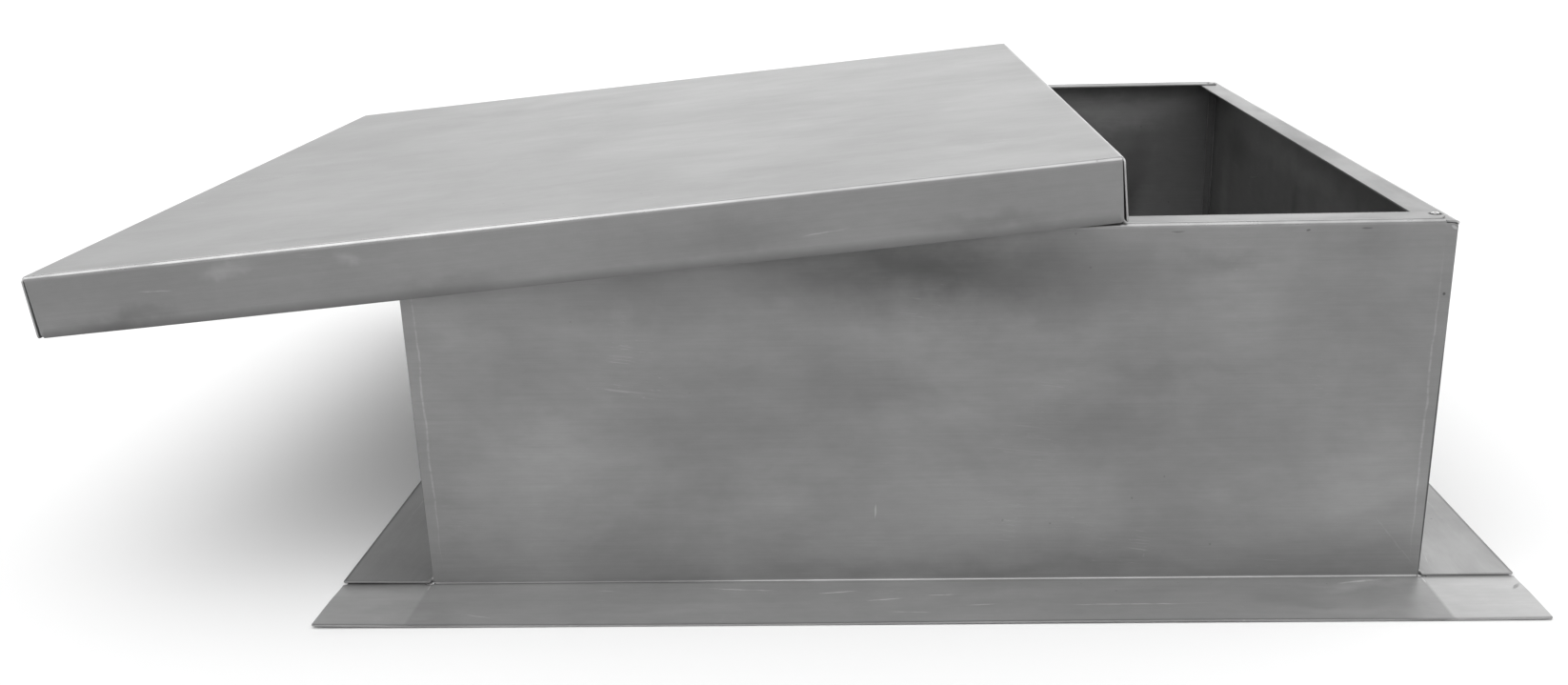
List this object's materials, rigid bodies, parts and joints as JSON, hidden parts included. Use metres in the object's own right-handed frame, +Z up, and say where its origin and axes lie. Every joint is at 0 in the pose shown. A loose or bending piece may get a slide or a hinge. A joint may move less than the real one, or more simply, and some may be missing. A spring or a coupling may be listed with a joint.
{
  "type": "deck hatch",
  "caption": "Square folded-sheet hatch curb with inward rims and an outward base flange, and a loose lift-off pan lid lying askew across its top.",
  "frame": {"origin": "centre of the curb's opening, in the plane that the base flange stands on", "axes": "+Z up through the opening, +X along the front wall to its right, +Y from the front wall to the back wall"},
  "size_m": [1.2156, 0.984, 0.3572],
  "materials": {
    "curb_sheet": "mill finish, softly smudged and scuffed",
    "lid_sheet": "mill finish, cleaner than the curb",
    "rivet": "bright",
    "mandrel": "dull, snapped end"
  },
  "bodies": {
    "curb": {"front_wall": "curb_sheet", "back_wall": "curb_sheet", "left_wall": "curb_sheet", "right_wall": "curb_sheet", "front_left_rivet": "rivet", "front_right_rivet": "rivet", "back_left_rivet": "rivet", "back_right_rivet": "rivet", "front_left_mandrel": "mandrel", "front_right_mandrel": "mandrel", "back_left_mandrel": "mandrel", "back_right_mandrel": "mandrel"},
    "lid": {"lid": "lid_sheet"}
  },
  "joints": [
    {"name": "lid_lift", "type": "slide", "parent": "curb", "child": "lid", "axis": [0, 0, 1], "range_m": [0, 0.3]}
  ]
}
